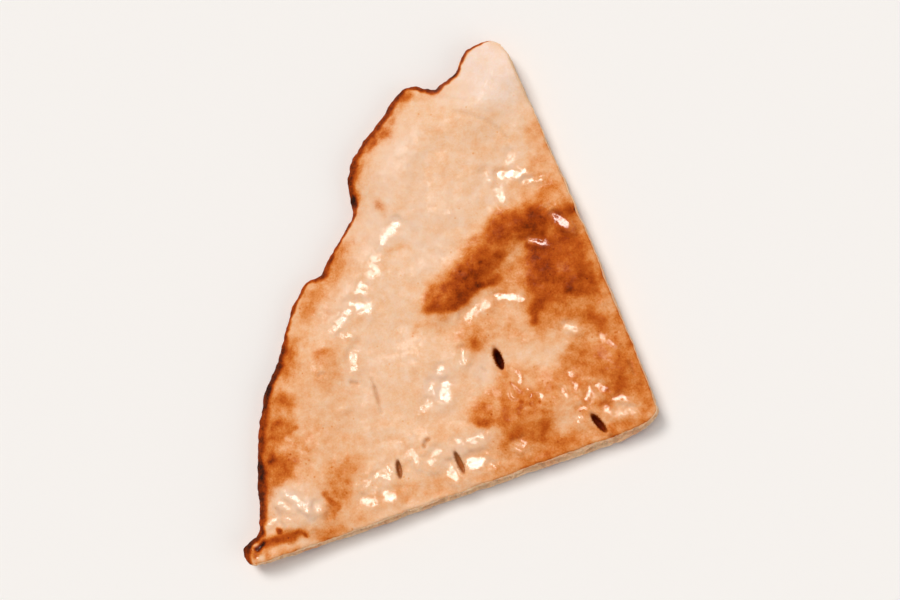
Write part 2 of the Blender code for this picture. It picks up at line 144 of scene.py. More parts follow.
# Browned ovals on top: x, y, half length, half width, turn, share from pale to char
BROWNED_GROUNDS = [
    (8, 56, 12, 9, 105, 0.01), (30, -1, 25, 15, 104, 0.53), (33, -23, 20, 13, 16, 0.49),
    (16, -29, 15, 12, 10, 0.41), (20, -38, 22, 4, 18, 0.42), (-39.5, -20, 17, 6.5, 82, 0.38),
    (-40, -38, 14, 8.5, 88, 0.46), (-27, -45, 16, 10, 80, 0.35), (-29, -25, 20, 10, 95, 0.29),
    (-30, 5, 13, 6.5, 54, 0.38), (-18.5, 38, 15, 4.5, 66, 0.31), (-8, -26, 22, 18, 10, 0.21),
    (13, -5, 14, 7.5, 10, 0.34), (-8, -46, 22, 3.2, 19, 0.31), (2, 38, 12, 12, 0, 0.2),
    (-4, 18, 8, 10, 60, 0.16), (-37, -50, 9, 7, 10, 0.2),
]
BROWNED_PATCHES = [
    (15.6, 8, 4.8, 3.4, 68, 0.47), (14.6, 3.2, 4.2, 2.4, 20, 0.47), (26, 6.5, 11.5, 8, 88, 0.66),
    (29, 10, 6, 4.6, 112, 0.67), (31, 3.2, 7.6, 4.2, 4, 0.73), (20.6, 5.4, 7.6, 3.4, 88, 0.7),
    (22.4, 6.6, 6.2, 3.2, 88, 0.81), (14.4, 12.6, 3.2, 1.6, 60, 0.62),
    (-3.6, -0.8, 3.2, 2.6, 20, 0.62), (18, 25.6, 5, 2.4, 170, 0.33), (21, 31.6, 4.4, 3, 112, 0.33),
    (28, -10.6, 3.4, 1.9, 10, 0.27), (25.4, 15.4, 5.4, 3.6, 30, 0.72),
    (21.6, -2.2, 4.8, 2.4, 84, 0.71), (21.4, -6.8, 2.6, 1.6, 88, 0.52),
    (33.6, 4.4, 2.8, 1.9, 20, 0.77), (28.8, 3.4, 1.5, 1.1, 0, 0.8), (20.4, 19, 4.4, 2.4, 4, 0.77),
    (21.6, 17, 2.2, 1.6, 120, 0.78), (28.4, 20.8, 2.2, 1.6, 150, 0.78),
    # The patch at 24.2, 25.2 also paints shade from the gap beside the upper cut.
    (24.6, 16.6, 1.4, 1.2, 0, 0.62), (24.2, 25.2, 4.6, 3, 112, 0.48),
    (34.6, 8.2, 3.2, 1, 112, 0.46), (37.4, 1, 4.6, 1.2, 112, 0.48), (31.2, -2.2, 5.6, 3, 172, 0.45),
    (34.8, -5, 4.6, 1.9, 174, 0.61), (29.2, -7.4, 3.2, 2.4, 20, 0.2), (39.6, -8, 2.2, 3, 112, 0.44),
    (36, -10, 5.6, 1.9, 172, 0.4), (32.8, -11, 2.8, 0.9, 4, 0.54),
    (33.6, -15.4, 5.4, 3.4, 160, 0.53), (27.6, -18, 3.6, 2.8, 20, 0.49),
    (20.2, -13.2, 6.4, 4, 12, 0.19), (41.4, -18.6, 7, 4.6, 112, 0.62), (44, -20, 3, 2.4, 112, 0.53),
    (39.2, -21.2, 3.4, 2.8, 0, 0.68), (36.8, -24.4, 2, 1.6, 0, 0.58),
    (46.4, -24, 3.6, 3, 112, 0.53), (41, -26.4, 5, 2.2, 18, 0.33), (28.6, -26.5, 3.4, 7, 4, 0.31),
    (31.6, -20, 4.2, 2.4, 0, 0.5), (34, -33.4, 7, 1.8, 14, 0.44), (30.2, -30.4, 3, 3, 0, 0.42),
    # The patch at 25.8, -34.4 also paints shade along the lower cut edge.
    (25.8, -34.4, 4.6, 2.4, 18, 0.6), (45.2, -29.8, 3.6, 1.6, 18, 0.5),
    (5.8, -10, 3.6, 2.4, 4, 0.52), (5.6, -8.4, 5, 3.6, 10, 0.42), (6.4, -10.4, 2.6, 1.6, 0, 0.54),
    (13.8, -20, 4.8, 3.6, 80, 0.46), (-4.4, -6, 4.6, 2.6, 10, 0.33), (0, -32, 6, 3, 0, 0.25),
    (8.2, -27.4, 3.6, 3.8, 0, 0.54), (7.4, -29.4, 2.8, 1.6, 10, 0.6),
    (10.8, -22.4, 2.4, 2.6, 0, 0.43), (18.8, -29.6, 6, 6.2, 0, 0.54), (16, -31.6, 3, 2.6, 0, 0.7),
    (22.8, -31.4, 5, 1.9, 88, 0.66), (13.4, -27, 5, 1.4, 92, 0.6), (15.6, -27.6, 2, 2, 0, 0.59),
    (18.6, -23.6, 4.2, 2.2, 170, 0.52), (19.6, -27.6, 2.2, 1.4, 0, 0.46),
    (13.6, -35.4, 2.2, 1.6, 60, 0.54), (17, -35.6, 2.4, 1.6, 0, 0.36), (5.6, -34, 5, 2.4, 12, 0.22),
    (8.4, -16.8, 3.2, 2.8, 100, 0.17), (-1.5, -22, 3, 4.6, 0, 0.15), (-10, -45.4, 4, 2.4, 20, 0.34),
    (-39.4, -12.4, 4.4, 2, 76, 0.66), (-30.8, -13.6, 2, 1.7, 0, 0.55),
    (-29.2, -16.4, 3.6, 4.4, 0, 0.38), (-36.8, -34.6, 1.9, 1.5, 60, 0.45),
    (-40, -24.4, 2.9, 2.2, 15, 0.61), (-42, -31.2, 3.4, 2.6, 80, 0.66),
    (-39.8, -31.2, 2, 1.4, 25, 0.56), (-42.8, -38, 2.8, 1.9, 90, 0.84),
    (-39.2, -39.4, 4, 3, 60, 0.64), (-42.2, -43, 4.4, 2.4, 75, 0.6),
    (-44, -47.5, 4.5, 1.2, 86, 0.6), (-26.2, -43, 4.6, 3, 80, 0.55),
    (-23.2, -39.6, 3.2, 2.2, 40, 0.45), (-28.8, -50.5, 3, 1.8, 95, 0.56),
    (-28.4, -55.4, 4.4, 1.6, 18, 0.58), (-33.5, -33.5, 4, 2.4, 110, 0.36),
    (-36.4, -47.6, 6.4, 3.6, 168, 0.11), (-40.6, -51.6, 4.2, 3, 60, 0.24),
    (-31, -53.4, 3, 2.2, 20, 0.42), (-33.4, -51.6, 3.4, 1.8, 150, 0.14),
    (-33.4, -44.6, 3, 2.4, 60, 0.26), (-39.4, -56.8, 5.6, 1.7, 18, 0.7),
    (-35, -55.8, 1.4, 0.9, 0, 0.7), (-42.2, -58.4, 2, 1.1, 20, 0.76),
    (-38.4, -59.8, 3.4, 1, 20, 0.52), (-45, -60.2, 3.6, 2.4, 20, 0.56),
    (-46.4, -58.5, 1.5, 0.9, 25, 0.24), (-46.9, -60.9, 0.8, 0.8, 0, 0.74),
    (-44.2, -60.3, 1.2, 0.9, 60, 0.46), (-45.2, -61.5, 1.1, 0.8, 30, 0.16),
    (-42, -61.6, 3.4, 0.7, 20, 0.34), (-11.6, 49.4, 3, 2.2, 10, 0.58),
    (-15.2, 41.2, 4.2, 2.2, 72, 0.61), (-18.6, 38.2, 3.4, 1.6, 42, 0.64),
    (-22.9, 32.2, 6, 1.8, 84, 0.54), (-22.8, 25.6, 2.6, 1.2, 76, 0.42),
    (-17.2, 22.8, 2.4, 1.8, 120, 0.45), (-26.2, 12.2, 4.4, 1.8, 62, 0.5),
    (-28, 7.4, 3.8, 2.6, 45, 0.52), (-32.6, 3.6, 3.6, 2, 30, 0.48), (-33.6, -1.6, 3.4, 2, 70, 0.46),
    (-14, 33.5, 5, 4, 80, 0.15), (-13.4, 12.4, 2.8, 1, 0, 0.3),
]

# Browned runs on top: x and y of each point along them, then half width and share
BROWNED_RUNS = [
    (-1.6, 0.4, 1.4, 4.2, 6, 8.8, 11.2, 14.6, 17, 18.6, 25.6, 20.6, 6.4, 0.39),
    (-1, 0, 2.6, 3.2, 6.4, 7.6, 10.4, 12, 14, 16.4, 19, 18.4, 4.8, 0.66),
    # The run from 20.4, 42 to 27, 26 also paints shade along the upper cut.
    (13, 16.6, 18, 18.4, 26.6, 19.4, 4.6, 0.71), (20.4, 42, 22.4, 37, 27, 26, 3.4, 0.36),
    (44, -14, 47.6, -24, 43, -30.4, 30, -35.2, 18, -39.4, 2, 0.54),
    (33.6, 15, 38.4, 3, 43.4, -11, 1.6, 0.6), (-20.5, 36, -15, 44, -10.5, 50, 2.2, 0.34),
]
BROWNED_LINES = [
    (-4.2, -2.4, -0.4, -2, 3, 0.4, 5.6, 2.8, 8.6, 4, 1.5, 0.78), (8.6, 4, 11.8, 5.4, 1.3, 0.66),
    (2.2, 2.4, 5.4, 5.6, 9.4, 7.4, 1.8, 0.75), (9.4, 7.4, 12.4, 10.4, 1.6, 0.7),
    (-3.6, 0.6, -2.2, 1.6, 1.4, 0.6), (18.6, 12.4, 22.4, 11.6, 27, 14, 1.1, 0.8),
    (22.6, -0.6, 21.4, -3.2, 20.5, -5.6, 1, 0.76), (-41.4, -32.4, -37.6, -30.6, 0.9, 0.62),
    (-29.4, -46, -28.4, -48, -26.4, -49.6, 0.9, 0.6),
    (-43, -57.8, -39, -56.7, -36, -55.6, 0.9, 0.76),
    (-44.2, -57.6, -44.9, -58.4, -45.9, -59.5, 0.8, 0.92),
]

# Where each mark starts and stops fading, as a share of the way from its middle to its edge
GROUND_FADE = (0.1, 1.5)
RUN_FADE = (0.3, 1.2)
MARK_FADE = (0.2, 1.5)
CHAR_FADE = (0.4, 1.3)
SLIT_FADE = (0.55, 1.3)
CREASE_FADE = (0.2, 1.6)
FLOUR_AND_SHEEN_FADE = (0.2, 1.4)
STROKE_FADE = (1.0, 1.9)
DAMP_FADE = (1.2, 4.0)

# Fine dark bits where the crust baked rough: x, y, radius, share
CHAR_BITS = [
    (2.6, 5.6, 0.7, 0.85), (4.9, 5.4, 0.5, 0.85), (5.6, 7.6, 0.6, 0.83), (7.4, 8.2, 0.7, 0.85),
    (8.7, 8.5, 0.4, 0.83), (3.6, 3.4, 0.6, 0.84), (2.2, 1.6, 0.7, 0.83), (5, 2.6, 0.8, 0.84),
    (1.6, -0.4, 0.6, 0.83), (6.6, 3.8, 0.6, 0.83), (4.2, 8.6, 0.4, 0.81), (22.4, 19.6, 0.8, 0.83),
    (29.8, 21, 0.5, 0.85), (25, 12, 0.7, 0.81), (39.2, -8.9, 0.7, 0.64), (17.3, -25.2, 0.9, 0.72),
    (19.6, -25.2, 0.7, 0.7), (21.8, -24.4, 0.7, 0.76), (16.2, -22.4, 0.6, 0.64),
    (14.6, -20.8, 0.5, 0.6), (-40.2, -55.4, 0.9, 0.78), (-34.6, -56, 0.8, 0.76),
    (-5.4, -33.7, 0.6, 0.36), (-6, -35.2, 0.5, 0.36),
]

# Places with flour still on them, some also painting the pale sheen round the butter: x, y, half length,
# half width, turn, how much
FLOUR_AND_SHEEN_PATCHES = [
    (8, 57, 10, 8, 105, 0.4), (1, 50.4, 7, 4, 10, 0.62), (3.4, 51.6, 4.4, 3, 30, 0.95),
    (-14, 33, 13, 6.5, 78, 0.6), (-19, 17, 9, 6, 62, 0.62), (-26, -1, 9, 5, 60, 0.4),
    (-37, -48, 7, 4.6, 0, 0.5), (-41, -52.6, 3, 2, 50, 0.2), (-2, -20.5, 4, 6.5, 0, 0.55),
    (5, -34.2, 6, 2.6, 12, 0.45), (-6, 20, 8, 12, 0, 0.3), (-20, -20, 6, 12, 0, 0.25),
    (8.4, -17, 3.6, 3, 100, 0.5),
]

# The dark line along the rim, char with painted shade where the rim rolls away, its darkest places and
# where it thins out: x, y, radius, how much
RIM_LINE_WIDTH = 1.3
RIM_LINE_WIDTH_LOW = 1.85
RIM_LINE_WIDENS = (-14.0, -32.0)
RIM_LINE_SHARE = 0.86
RIM_GLOW = 0.52
RIM_GLOW_REACH = 4.2
RIM_GLOW_STARTS = (62.0, 46.0)
RIM_DARK = [
    (-41.4, -16.4, 2.2, 0.09), (-44.6, -21.5, 2.4, 0.1), (-22.6, 24.2, 1.6, 0.16),
    (-24, 30.6, 3, 0.02), (-12.6, 51, 1.4, 0.06), (-3.6, 51.6, 2, 0.1), (0.6, 55, 1.4, 0.1),
    (13.4, 60.8, 1.4, 0.16), (-45.8, -41, 2.4, 0.1), (-44.4, -58, 2, 0.12),
    (-48.4, -58.6, 2.4, 0.1), (-45.6, -47, 3, 0.06),
]
RIM_THIN = [
    (9, 63, 6, 0.8), (1.5, 56, 5, 0.5), (-1.6, 52.4, 2.4, 0.3), (-9, 52, 2.6, 0.5),
    (-44, -54.2, 2.6, 0.4), (-25, 17, 5.5, 0.62), (-28.4, 11, 3, 0.3), (-35, 5, 2.6, 0.6),
    (-37.6, -0.5, 4.5, 0.65), (-40, -6, 3, 0.35), (-45.6, -61.6, 1.6, 0.8),
    (-46.2, -58.8, 1.1, 0.9),
]

# Wet strokes of melted butter: x and y of each point along them, then half width and how wet
GLINTS = [
    (12.2, 29.6, 11.6, 27.2, 11.9, 25.6, 13, 24, 0.7, 0.55), (9, 30.4, 10.8, 29.4, 0.8, 0.55),
    (14.4, 32.8, 14.8, 34.4, 0.8, 0.25), (12, 30, 14.8, 30.5, 17.8, 30.2, 0.75, 1),
    (17.9, 28.2, 22, 28.6, 0.5, 0.7), (25.2, 19.6, 27, 18.2, 28.7, 16.8, 0.6, 1),
    (19.4, 14.1, 22.6, 12.9, 0.4, 1), (11, 0.4, 13, 0.5, 17.2, -0.3, 0.6, 1),
    (9.2, -1.2, 6.2, -2.4, 3.8, -4.6, 0.7, 0.5), (-13, 18.2, -14.4, 16, -16, 13.8, 0.85, 0.55),
    (-17.4, 9.6, -18.2, 8.8, 0.9, 0.4), (-17.8, 6.6, -18.6, 6.2, 0.8, 0.5),
    (-20.8, 3.2, -21.6, 1, 0.9, 0.55), (-23.6, -1.4, -21.4, -1.4, -19.4, -2.2, 0.9, 0.6),
    (-24.6, -3, -25.8, -4.8, -27.2, -6.6, 0.75, 0.55), (-26, -8.4, -23.4, -8.8, 0.5, 0.5),
    (-23, -13.2, -22.6, -16.4, 0.8, 0.5), (-2, -16.8, -1.8, -19.4, 0.7, 0.55),
    (-3.6, -21, -4.2, -23.6, 1, 0.55), (-0.8, -20.6, -1, -23.8, 0.9, 0.55),
    (-5, -24.8, -6.8, -26.8, 0.7, 0.4), (3.2, -12, 3.4, -15, 0.5, 0.55),
    (1.4, -33.6, 4.6, -34.4, 8, -32.8, 0.65, 0.5), (5.4, -38.8, 6.8, -39.6, 8.2, -38.6, 1, 1),
    (9.8, -39.4, 10.8, -39.8, 0.5, 0.55), (-0.6, -39.6, 0.8, -41.8, 2.6, -43.4, 0.8, 0.55),
    (-2.8, -36.4, -4.2, -39, 0.8, 0.4), (-9, -36.4, -7.6, -38.4, 0.7, 0.4),
    (15.6, -34.4, 16.6, -36.2, 18, -35, 17.2, -33.4, 0.4, 0.7),
    (-43.4, -54, -42.2, -53, -41.2, -52, 0.55, 0.55),
    (-38.2, -46.6, -35.6, -47.8, -33.2, -49.6, 0.7, 0.5), (-40.4, -48.4, -37.8, -49.4, 0.6, 0.4),
    (-38.6, -52.4, -35.6, -51.8, 0.6, 0.5), (-31.6, -48.8, -30.6, -50, 0.5, 0.4),
    (-20, -47.2, -18.2, -48.4, -16.8, -46.6, 0.8, 0.7), (-15.2, -46.2, -13.4, -47.4, 0.8, 0.7),
    (-18.4, -43.2, -16.4, -41.4, -14.2, -42.8, 0.6, 0.5), (-20.4, -44.4, -19.4, -43, 0.6, 0.4),
    (-14.8, -39.6, -13.8, -41.2, 0.5, 0.4), (33.6, -21.6, 32.2, -25.2, 0.7, 0.7),
    (31.4, -26.2, 30.8, -29.6, 0.55, 0.55), (35.2, -20.6, 36.6, -21.8, 0.6, 0.55),
    (38.6, -24.8, 40.6, -23.4, 42, -25, 0.6, 1), (37.2, -26.2, 38.6, -27.4, 0.7, 0.7),
    (40.2, -27, 43.4, -27.2, 0.7, 0.4), (28.4, -18, 29.2, -19.8, 30.2, -21.6, 0.55, 0.5),
    (26.8, -21.4, 27.6, -23.6, 0.5, 0.5), (15, -20.6, 16.2, -21.6, 0.4, 0.55),
    (18.4, -21.8, 19.4, -23, 0.4, 0.55), (20.6, -22.6, 21.8, -23.2, 0.4, 0.55),
    (14.6, -23, 15.6, -23.8, 0.4, 0.55), (16, -17.6, 17, -20, 0.4, 0.55),
    (-47, -58.2, -45.9, -58.4, 0.4, 1), (-45.6, -61.2, -44.9, -61.5, 0.4, 1),
    (28, -6.4, 30, -7.6, 0.5, 0.4), (36, -9.2, 39.6, -11.4, 0.5, 0.4),
]
RIDGE_TILT = 9.5
STROKE_AT_MOST = 1.0
STROKE_WANDER = 0.35
DAMP_SHARE = 0.35
GLAZE_AT_MOST = 0.15

# Clusters of small bubbles in the skin: x, y, spread, how many
BUBBLE_CLUSTERS = [
    (18.4, -23.6, 3.2, 22), (16.6, -35.4, 2, 9), (-18, -44.6, 4, 24), (7.6, -38.4, 3.2, 14),
    (30, -22.6, 3.6, 20), (39.6, -24.6, 3, 14), (5.4, 6.4, 2.6, 18), (-9.6, -37.6, 4, 16),
    (-29, -50, 3.4, 12), (-41.6, -36, 4, 16), (28, 3, 5, 20), (-40, -57.4, 3.4, 12),
]
BUBBLES_AT_LARGE = 620
BUBBLES_ACROSS = (-49.0, 50.0)
BUBBLES_ALONG = (-63.0, 63.0)
BUBBLE_RADIUS = (0.5, 1.5)
CLUSTER_BUBBLE_RADIUS = (0.45, 1.15)
BUBBLE_STEEPNESS = 0.17

# Layers of uneven noise: cell size, amount, seed
UNEVENNESS = [(15, 0.6, 11), (6.5, 0.25, 12)]
SKIN_WAVES = [(9, 0.3, 41), (4.6, 0.2, 42), (2.3, 0.1, 43), (1.2, 0.045, 44)]
CHAR_ROUGHNESS = [(1.5, 0.1, 45), (0.8, 0.06, 46)]
STROKE_ROUGHNESS = [(1.9, 0.11, 47), (1, 0.08, 48)]
MARK_WANDER = [(6.5, 1, 0), (2.6, 0.5, 1)]
BLOTCHES = [(11, 0.04, 70), (4.6, 0.05, 71), (2.3, 0.05, 72)]
UNDERSIDE_TINTS = [(14, 0.06, 100), (3.1, 0.05, 101)]
CUT_WAVES = [(7, 0.2, 140), (2.4, 0.11, 141)]
RIM_RAGGEDNESS = [(4.4, 0.3, 133), (1.7, 0.18, 134), (0.9, 0.1, 135)]
CRUMB_GRAIN = [(0.9, 0.1, 131), (3.4, 0.16, 132)]
PORE_SWAY = [(2.1, 0.55, 136), (0.9, 0.2, 137)]
PORE_RISE = [(1.6, 0.22, 138), (0.8, 0.12, 139)]

# Open crumb on the two cut faces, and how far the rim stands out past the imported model's
PORES_PER_CUT = 420
PORE_HALF_LENGTH = (0.35, 2.6)
PORE_HALF_HEIGHT = (0.22, 0.85)
PORE_DEPTH = (0.35, 2.5)
SKIN_THICKNESS = 0.5
SKIN_EDGE_BROWNING = 0.06
RIM_BULGE = 0.35

# Mesh
OUTLINE_SPACING = 0.31
TOP_SPACING = 0.41
UNDERSIDE_SPACING = 0.72
WALL_ROWS = 30
NORMAL_SMOOTHING = 1.3
LATTICE = 256

# Crust colours from pale dough to char, with the share each stands at
BAKE_COLOURS = [
    (0, (248, 225, 212)), (0.1, (244, 210, 183)), (0.2, (241, 195, 156)), (0.32, (236, 174, 124)),
    (0.44, (226, 147, 84)), (0.56, (212, 119, 46)), (0.68, (190, 88, 20)), (0.8, (158, 61, 6)),
    (0.9, (106, 38, 6)), (1, (47, 22, 13)),
]
DOUGH_SHARE = 0.175
# Pale colour of flour, also used for the painted sheen round the butter.
FLOUR_AND_SHEEN_COLOUR = (240, 206, 181)
CRUMB_COLOUR = (254, 208, 164)
# Pore colour, darker than the crumb as painted shade in its hollows.
SHADED_PORE_COLOUR = (228, 190, 144)
WEB_COLOUR = (255, 224, 192)
TOASTED_CRUMB_COLOUR = (232, 136, 72)
SLIT_SHADE = (190, 166, 134)
FLOOR_COLOUR = (245, 244, 243)

# Shader settings that are the same all over the bread, and all over the floor
BREAD_SHADER = {
    "Coat Roughness": 0.11, "Coat IOR": 1.6, "Specular IOR Level": 0.06, "Subsurface Weight": 0.12,
    "Subsurface Radius": (1.0, 0.45, 0.2), "Subsurface Scale": 1.2 * METRES,
}
FLOOR_SHADER = {"Roughness": 0.9, "Specular IOR Level": 0.1}
FLOOR_HALF_SIZE = 3.0

# Distant soft lights: name, azimuth from +X, elevation and size in degrees, strength, colour
KEY_AZIMUTH = 132.0
LIGHTS = [
    ("key", KEY_AZIMUTH, 58.0, 22.0, 1.70, (255, 250, 245)),
    ("overhead", 120.0, 77.0, 16.0, 0.45, (255, 252, 248)),
    ("fill", -25.0, 26.0, 50.0, 0.55, (255, 250, 246)),
]
WORLD_COLOUR = (241, 240, 239)
WORLD_STRENGTH = 0.38

# Camera
CAMERA_AZIMUTH = -52.0
CAMERA_TILT = 9.0
CAMERA_LENS = 85.0
CAMERA_FILL = 0.88
FRAME_ASPECT = 900.0 / 600.0


def direction(angle):
    """Unit vector at an angle in degrees."""
    return np.array([math.cos(math.radians(angle)), math.sin(math.radians(angle))])


def between(first, second, share):
    """Value at a share of the way from the first to the second."""
    return first + (second - first) * share


def smoothstep(low, high, value):
    """Smooth ramp from 0 at low to 1 at high."""
    t = np.clip((value - low) / (high - low), 0.0, 1.0)
    return t * t * (3.0 - 2.0 * t)


def fade(low, high, value):
    """Smooth ramp from 1 at low to 0 at high."""
    return 1.0 - smoothstep(low, high, value)


def smooth_noise(x, y, cell, seed):
    """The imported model's noise, from -1 to 1: random lattice values with smooth blends between."""
    lattice = np.random.default_rng(seed).uniform(-1.0, 1.0, (64, 64))
    u = x / cell + 32.0
    v = y / cell + 32.0
    i = np.floor(u).astype(int)
    j = np.floor(v).astype(int)
    s = smoothstep(0.0, 1.0, u - i)
    t = smoothstep(0.0, 1.0, v - j)
    low = lattice[i, j] * (1.0 - s) + lattice[i + 1, j] * s
    high = lattice[i, j + 1] * (1.0 - s) + lattice[i + 1, j + 1] * s
    return low * (1.0 - t) + high * t


def ripple(x, y, cell, seed):
    """Seeded gradient noise, about -1 to 1, for fine detail: it shows no grid."""
    slopes = np.random.default_rng(seed).uniform(0.0, 2.0 * math.pi, (LATTICE, LATTICE))
    u = x / cell + LATTICE / 2
    v = y / cell + LATTICE / 2
    i = np.floor(u).astype(int)
    j = np.floor(v).astype(int)
    s = u - i
    t = v - j
    blend_s = s ** 3 * (s * (6.0 * s - 15.0) + 10.0)
    blend_t = t ** 3 * (t * (6.0 * t - 15.0) + 10.0)
    total = np.zeros(np.shape(u))
    for step_i, share_i in ((0, 1.0 - blend_s), (1, blend_s)):
        for step_j, share_j in ((0, 1.0 - blend_t), (1, blend_t)):
            slope = slopes[(i + step_i) % LATTICE, (j + step_j) % LATTICE]
            rise = np.cos(slope) * (s - step_i) + np.sin(slope) * (t - step_j)
            total += share_i * share_j * rise
    return 1.5 * total


def ripples(x, y, layers, seed=0):
    """Sum of ripples, one for each layer."""
    total = np.zeros(np.shape(x))
    for cell, amount, layer_seed in layers:
        total += amount * ripple(x, y, cell, seed + layer_seed)
    return total


def rim_radius(angle):
    """Distance of the rim from the knife corner: a curve through RIM_KNOTS that never overshoots."""
    knot_angles, knot_radii = np.array(RIM_KNOTS).T
    rises = np.diff(knot_radii) / np.diff(knot_angles)
    slopes = np.zeros(len(knot_radii))
    same_way = rises[:-1] * rises[1:] > 0.0
    middle = 2.0 * rises[:-1] * rises[1:] / np.where(same_way, rises[:-1] + rises[1:], 1.0)
    slopes[1:-1] = np.where(same_way, middle, 0.0)
    k = np.clip(np.searchsorted(knot_angles, angle) - 1, 0, len(knot_angles) - 2)
    span = knot_angles[k + 1] - knot_angles[k]
    t = (angle - knot_angles[k]) / span
    start = (1.0 + 2.0 * t) * (1.0 - t) ** 2 * knot_radii[k] + t * (1.0 - t) ** 2 * span * slopes[k]
    end = t * t * (3.0 - 2.0 * t) * knot_radii[k + 1] - t * t * (1.0 - t) * span * slopes[k + 1]
    return start + end


def rim_points(count=400):
    """The baked rim from the upper cut round to the lower cut."""
    angles = np.linspace(UPPER_CUT_ANGLE, LOWER_CUT_ANGLE, count)
    return np.array([CUT_CORNER + rim_radius(angle) * direction(angle) for angle in angles])


def cut_points(angle, bow, outward, count=200):
    """One knife cut, from the knife corner to the rim, bowed a little outwards."""
    length = rim_radius(angle)
    t = np.linspace(0.0, 1.0, count)[:, None]
    return CUT_CORNER + length * t * direction(angle) + 4.0 * bow * t * (1.0 - t) * outward


def run_lengths(points):
    """Distance along a run of points, from its start to each of them."""
    steps = np.linalg.norm(np.diff(points, axis=0), axis=1)
    return np.concatenate([[0.0], np.cumsum(steps)])


def trimmed(points, at_start, at_end):
    """The run of points without the given lengths at its ends."""
    run = run_lengths(points)
    return points[(run > at_start) & (run < run[-1] - at_end)]


def rounded_corner(before, corner, after, count=24):
    """Arc-like bend from one point to another that stays inside their corner."""
    t = np.linspace(0.0, 1.0, count)[1:-1, None]
    return (1.0 - t) ** 2 * before + 2.0 * t * (1.0 - t) * corner + t * t * after


def resampled(rows, spacing):
    """Even steps round a closed run of rows: its x, its y and the values that go with them."""
    closed = np.vstack([rows, rows[:1]])
    run = run_lengths(closed[:, :2])
    at = np.linspace(0.0, run[-1], int(round(run[-1] / spacing)), endpoint=False)
    return np.array([np.interp(at, run, column) for column in closed.T])


def averaged(values, reach):
    """Values round a closed run, each blended with its neighbours over a reach of that many points."""
    total = np.zeros_like(values)
    weight = 0.0
    for step in range(-int(3 * reach), int(3 * reach) + 1):
        share = math.exp(-0.5 * (step / reach) ** 2)
        total += share * np.roll(values, step, axis=0)
        weight += share
    return total / weight


def outline(spacing):
    """Closed outline, anticlockwise: points, outward normals, rim share and the cuts' lean."""
    upper = cut_points(UPPER_CUT_ANGLE, UPPER_CUT_BOW, direction(UPPER_CUT_ANGLE - 90.0))
    lower = cut_points(LOWER_CUT_ANGLE, LOWER_CUT_BOW, direction(LOWER_CUT_ANGLE + 90.0))[::-1]
    rim = rim_points()
    sides = [
        (trimmed(upper, KNIFE_CORNER_ROUND_UPPER, UPPER_TIP_ROUND), rim[0],
         (0.0, UPPER_CUT_LEAN), (0.0, UPPER_CUT_LEAN)),
        (trimmed(rim, UPPER_TIP_ROUND, LOWER_TIP_ROUND), rim[-1], (1.0, 0.0), (1.0, 0.0)),
        (trimmed(lower, LOWER_TIP_ROUND, KNIFE_CORNER_ROUND_LOWER), CUT_CORNER,
         (0.0, LOWER_CUT_LEAN_AT_RIM), (0.0, LOWER_CUT_LEAN_AT_CORNER)),
    ]
    rows = []
    for number, (side, corner, at_start, at_end) in enumerate(sides):
        following = sides[(number + 1) % len(sides)]
        bend = rounded_corner(side[-1], corner, following[0][0])
        rows += [np.hstack([side, np.linspace(at_start, at_end, len(side))]),
                 np.hstack([bend, np.linspace(at_end, following[2], len(bend))])]
    x, y, rim_share, lean = resampled(np.vstack(rows), spacing)
    points = np.column_stack([x, y])
    along = np.roll(points, -1, axis=0) - np.roll(points, 1, axis=0)
    normals = np.column_stack([along[:, 1], -along[:, 0]])
    normals = averaged(normals / np.linalg.norm(normals, axis=1)[:, None], NORMAL_SMOOTHING / spacing)
    normals /= np.linalg.norm(normals, axis=1)[:, None]
    return points, normals, rim_share, lean


def offset_from_run(x, y, run):
    """Way to each point from the nearest place of a run of straight pieces, in x and in y."""
    nearest = np.full(len(x), np.inf)
    offset = np.zeros((2, len(x)))
    for (x0, y0), (x1, y1) in zip(run[:-1], run[1:]):
        along_x = x1 - x0
        along_y = y1 - y0
        t = ((x - x0) * along_x + (y - y0) * along_y) / (along_x ** 2 + along_y ** 2)
        t = np.clip(t, 0.0, 1.0)
        way = np.array([x - x0 - t * along_x, y - y0 - t * along_y])
        gap = way[0] ** 2 + way[1] ** 2
        offset = np.where(gap < nearest, way, offset)
        nearest = np.minimum(nearest, gap)
    return offset


def distance_to_run(x, y, run):
    """Distance from each point to a run of straight pieces."""
    way_x, way_y = offset_from_run(x, y, run)
    return np.sqrt(way_x ** 2 + way_y ** 2)


def inside(x, y, loop):
    """True for each point inside a closed loop."""
    crossings = np.zeros(len(x), dtype=int)
    for (x0, y0), (x1, y1) in zip(loop, np.roll(loop, -1, axis=0)):
        spans = (y0 > y) != (y1 > y)
        if y0 != y1:
            crossings += spans & (x < x0 + (y - y0) * (x1 - x0) / (y1 - y0))
    return crossings % 2 == 1


def cut_gap(x, y):
    """Distance from each point to the nearer of the two cut lines."""
    offset = np.column_stack([x, y]) - CUT_CORNER
    upper = -offset @ direction(UPPER_CUT_ANGLE - 90.0) + UPPER_CUT_BOW
    lower = -offset @ direction(LOWER_CUT_ANGLE + 90.0) + LOWER_CUT_BOW
    return np.maximum(np.minimum(upper, lower), 0.0)


def oval_distance(x, y, centre_x, centre_y, half_length, half_width, turn):
    """Distance from an oval's centre, as a share of the way to its edge."""
    along = direction(turn)
    u = ((x - centre_x) * along[0] + (y - centre_y) * along[1]) / half_length
    v = (-(x - centre_x) * along[1] + (y - centre_y) * along[0]) / half_width
    return np.hypot(u, v)


def smooth_run(points):
    """Run of points through the given x and y, rounded at each by two rounds of corner cutting."""
    run = np.array(points, dtype=float).reshape(-1, 2)
    for _ in range(2):
        first = 0.75 * run[:-1] + 0.25 * run[1:]
        second = 0.25 * run[:-1] + 0.75 * run[1:]
        middle = np.column_stack([first, second]).reshape(-1, 2)
        run = np.vstack([run[:1], middle, run[-1:]])
    return run


